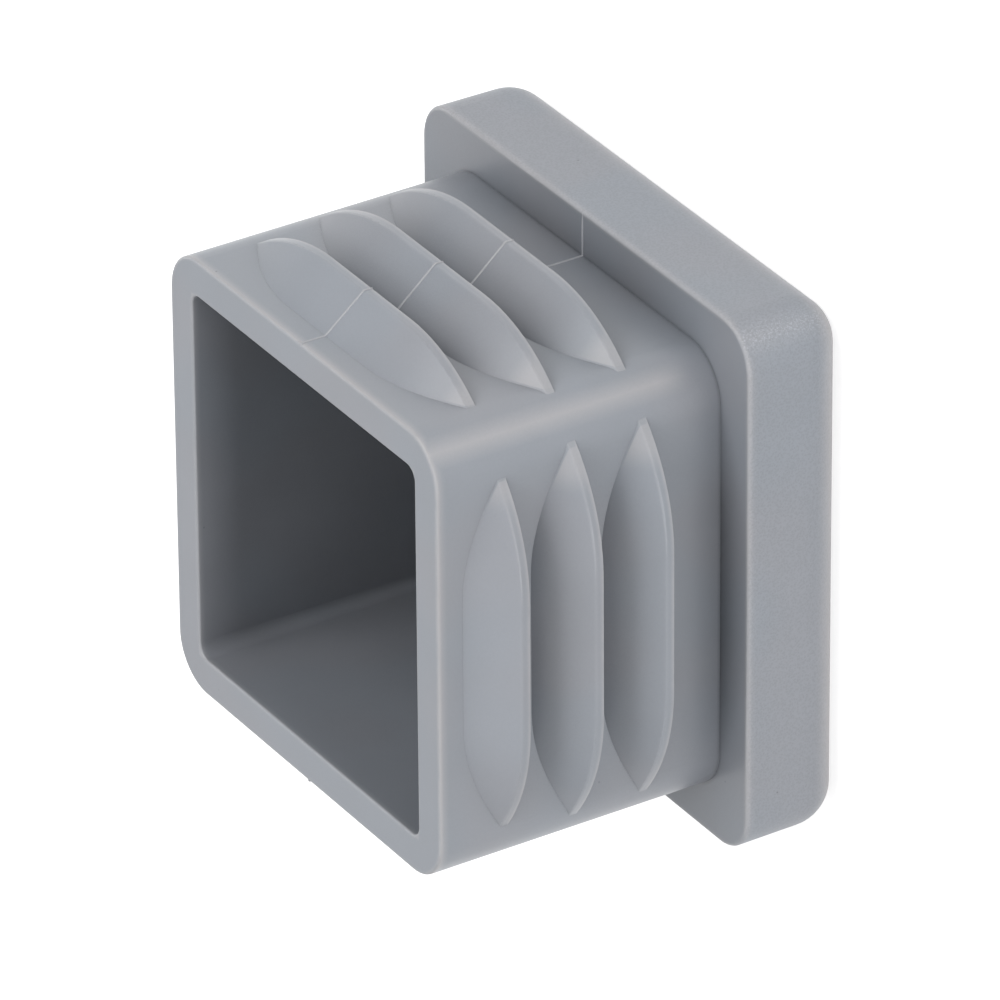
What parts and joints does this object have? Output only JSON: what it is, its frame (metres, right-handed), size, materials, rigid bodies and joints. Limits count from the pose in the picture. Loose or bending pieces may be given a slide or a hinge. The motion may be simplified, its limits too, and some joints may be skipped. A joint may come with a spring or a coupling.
{
  "type": "square tube end cap",
  "caption": "Moulded push-in end cap for a square tube: flat square head with rounded edges, and a hollow square plug with lens-shaped gripping ribs on its sides.",
  "frame": {"origin": "centre of the flat outer face of the head, on which the cap stands", "axes": "+Z along the plug from the outer face to the open rim, +X and +Y square to the sides of the head"},
  "size_m": [0.03, 0.03, 0.0223],
  "materials": {
    "cap_plastic": "satin grey, fine spark-eroded grain on the head, smoother on the plug"
  },
  "bodies": {
    "root": {"end_cap": "cap_plastic"}
  },
  "joints": []
}
